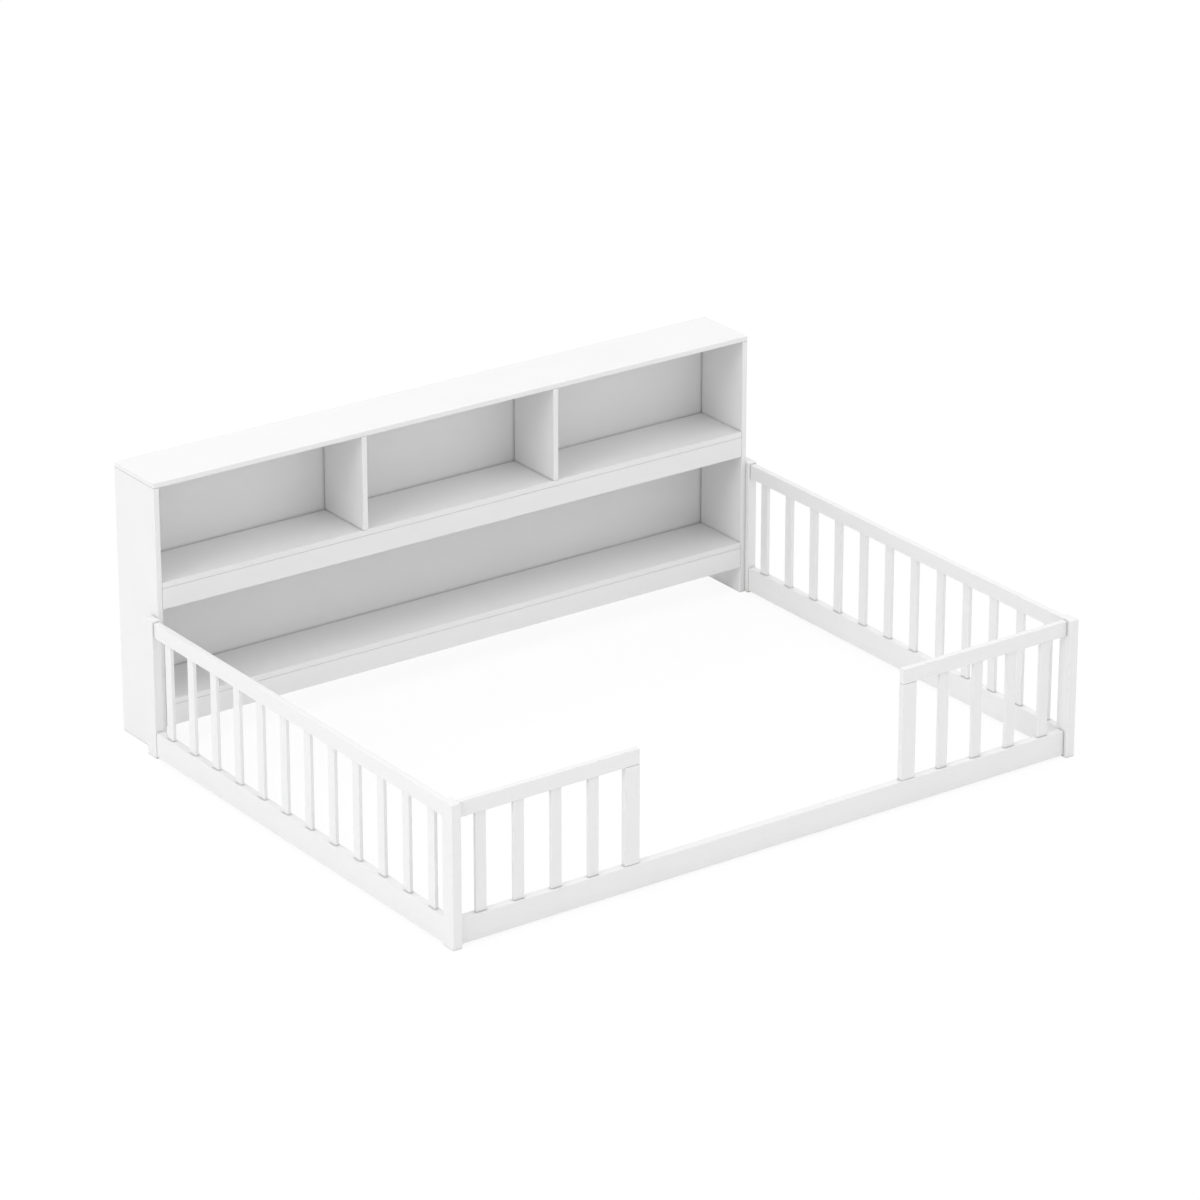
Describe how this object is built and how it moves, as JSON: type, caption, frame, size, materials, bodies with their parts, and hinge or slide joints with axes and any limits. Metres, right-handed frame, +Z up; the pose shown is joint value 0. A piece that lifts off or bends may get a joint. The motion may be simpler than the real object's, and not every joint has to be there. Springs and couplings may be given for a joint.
{
  "type": "floor bed",
  "caption": "White floor bed: a low open bookcase along one long side, a slatted guard fence round the other sides and an entry gap, round a mattress that lies on the floor.",
  "frame": {"origin": "middle of the bed's outline, on the floor", "axes": "+X along the bookcase, +Y from the entry gap towards the bookcase, +Z up"},
  "size_m": [2.016, 1.635, 0.783],
  "materials": {
    "white_paint": "satin white paint",
    "dowel_wood": "bare beech",
    "steel": "zinc plated"
  },
  "bodies": {
    "root": {"back_left_post": "white_paint", "back_panel": "white_paint", "back_right_post": "white_paint", "cam_bolts": "steel", "cam_locks": "steel", "case_left_side": "white_paint", "case_right_side": "white_paint", "case_top": "white_paint", "dowels": "dowel_wood", "front_bottom_rail": "white_paint", "front_left_post": "white_paint", "front_left_slat_1": "white_paint", "front_left_slat_2": "white_paint", "front_left_slat_3": "white_paint", "front_left_slat_4": "white_paint", "front_left_top_rail": "white_paint", "front_right_post": "white_paint", "front_right_slat_1": "white_paint", "front_right_slat_2": "white_paint", "front_right_slat_3": "white_paint", "front_right_slat_4": "white_paint", "front_right_top_rail": "white_paint", "left_bottom_rail": "white_paint", "left_divider": "white_paint", "left_entry_post": "white_paint", "left_slat_01": "white_paint", "left_slat_02": "white_paint", "left_slat_03": "white_paint", "left_slat_04": "white_paint", "left_slat_05": "white_paint", "left_slat_06": "white_paint", "left_slat_07": "white_paint", "left_slat_08": "white_paint", "left_slat_09": "white_paint", "left_slat_10": "white_paint", "left_slat_11": "white_paint", "left_slat_12": "white_paint", "left_top_rail": "white_paint", "lower_apron": "white_paint", "lower_shelf": "white_paint", "post_screws": "steel", "right_bottom_rail": "white_paint", "right_divider": "white_paint", "right_entry_post": "white_paint", "right_slat_01": "white_paint", "right_slat_02": "white_paint", "right_slat_03": "white_paint", "right_slat_04": "white_paint", "right_slat_05": "white_paint", "right_slat_06": "white_paint", "right_slat_07": "white_paint", "right_slat_08": "white_paint", "right_slat_09": "white_paint", "right_slat_10": "white_paint", "right_slat_11": "white_paint", "right_slat_12": "white_paint", "right_top_rail": "white_paint", "upper_apron": "white_paint", "upper_shelf": "white_paint"}
  },
  "joints": []
}
